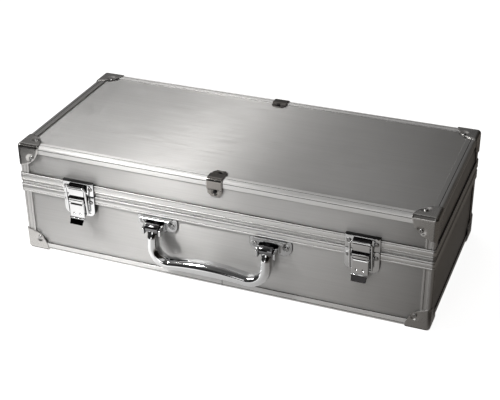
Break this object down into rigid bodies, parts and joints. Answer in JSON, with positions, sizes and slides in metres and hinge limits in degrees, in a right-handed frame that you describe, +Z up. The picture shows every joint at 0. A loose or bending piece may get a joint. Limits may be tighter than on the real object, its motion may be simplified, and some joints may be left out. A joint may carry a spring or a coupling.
{
  "type": "poker chip case",
  "caption": "Aluminium-framed poker chip carrying case with hinged lid, bail latches, drop handle and lift-out trays with half-round chip rows.",
  "frame": {"origin": "on the surface the case stands on, under the middle of the whole object's box, lid closed and handle hanging", "axes": "+X along the case's length to the right when facing the handle, +Y from the handle side to the hinge side, +Z up"},
  "size_m": [0.47, 0.2391, 0.134],
  "materials": {
    "panel_skin": "brushed along the length, thin skin on board",
    "frame_metal": "satin anodised extrusion, bright rounded edges",
    "corner_metal": "bright nickel-plated pressed steel",
    "chrome_hardware": "polished chrome plate",
    "lining_cloth": "black flocked lining on board",
    "tray_plastic": "black flocked formed tray",
    "pad_foam": "charcoal soft foam pad"
  },
  "bodies": {
    "base": {"base_back_panel": "panel_skin", "base_bottom_panel": "panel_skin", "base_corner_bl": "corner_metal", "base_corner_br": "corner_metal", "base_corner_fl": "corner_metal", "base_corner_fr": "corner_metal", "base_edge_back": "frame_metal", "base_edge_front_left": "frame_metal", "base_edge_front_right": "frame_metal", "base_edge_left": "frame_metal", "base_edge_right": "frame_metal", "base_front_panel": "panel_skin", "base_left_panel": "panel_skin", "base_lining": "lining_cloth", "base_post_bl": "frame_metal", "base_post_br": "frame_metal", "base_post_fl": "frame_metal", "base_post_fr": "frame_metal", "base_right_panel": "panel_skin", "base_rim": "frame_metal", "chip_tray_lower": "tray_plastic", "handle_bracket_left": "chrome_hardware", "handle_bracket_right": "chrome_hardware", "hinge_base_leaf_left": "chrome_hardware", "hinge_base_leaf_right": "chrome_hardware", "latch_base_left": "chrome_hardware", "latch_base_right": "chrome_hardware"},
    "lid": {"hinge_lid_leaf_left": "chrome_hardware", "hinge_lid_leaf_right": "chrome_hardware", "latch_keeper_left": "chrome_hardware", "latch_keeper_right": "chrome_hardware", "lid_back_panel": "panel_skin", "lid_clip_back": "corner_metal", "lid_clip_front": "corner_metal", "lid_corner_bl": "corner_metal", "lid_corner_br": "corner_metal", "lid_corner_fl": "corner_metal", "lid_corner_fr": "corner_metal", "lid_edge_back_left": "frame_metal", "lid_edge_back_right": "frame_metal", "lid_edge_front_left": "frame_metal", "lid_edge_front_right": "frame_metal", "lid_edge_left": "frame_metal", "lid_edge_right": "frame_metal", "lid_front_panel": "panel_skin", "lid_left_panel": "panel_skin", "lid_pad": "pad_foam", "lid_post_bl": "frame_metal", "lid_post_br": "frame_metal", "lid_post_fl": "frame_metal", "lid_post_fr": "frame_metal", "lid_right_panel": "panel_skin", "lid_rim": "frame_metal", "lid_top_panel": "panel_skin"},
    "handle": {"handle": "chrome_hardware"},
    "latch_lever_left": {"latch_lever_left": "chrome_hardware"},
    "latch_lever_right": {"latch_lever_right": "chrome_hardware"},
    "latch_bail_left": {"latch_bail_left": "chrome_hardware"},
    "latch_bail_right": {"latch_bail_right": "chrome_hardware"},
    "chip_tray_upper": {"chip_tray_upper": "tray_plastic"}
  },
  "joints": [
    {"name": "lid_hinge", "type": "hinge", "parent": "base", "child": "lid", "pos_m": [0, 0.11674, 0.08475], "axis": [-1, 0, 0], "range_deg": [0, 100]},
    {"name": "handle_swing", "type": "hinge", "parent": "base", "child": "handle", "pos_m": [-0.003, -0.10766, 0.0665], "axis": [-1, 0, 0], "range_deg": [0, 90]},
    {"name": "latch_lever_left_swing", "type": "hinge", "parent": "base", "child": "latch_lever_left", "pos_m": [-0.161, -0.10266, 0.0805], "axis": [-1, 0, 0], "range_deg": [0, 110]},
    {"name": "latch_bail_left_swing", "type": "hinge", "parent": "latch_lever_left", "child": "latch_bail_left", "pos_m": [-0.161, -0.10266, 0.0632], "axis": [1, 0, 0], "range_deg": [0, 110]},
    {"name": "latch_lever_right_swing", "type": "hinge", "parent": "base", "child": "latch_lever_right", "pos_m": [0.161, -0.10266, 0.0805], "axis": [-1, 0, 0], "range_deg": [0, 110]},
    {"name": "latch_bail_right_swing", "type": "hinge", "parent": "latch_lever_right", "child": "latch_bail_right", "pos_m": [0.161, -0.10266, 0.0632], "axis": [1, 0, 0], "range_deg": [0, 110]},
    {"name": "upper_tray_lift", "type": "slide", "parent": "base", "child": "chip_tray_upper", "axis": [0, 0, 1], "range_m": [0, 0.02]}
  ],
  "couplings": [
    {"joint": "latch_bail_left_swing", "follows": "latch_lever_left_swing", "ratio": 1},
    {"joint": "latch_bail_right_swing", "follows": "latch_lever_right_swing", "ratio": 1}
  ]
}
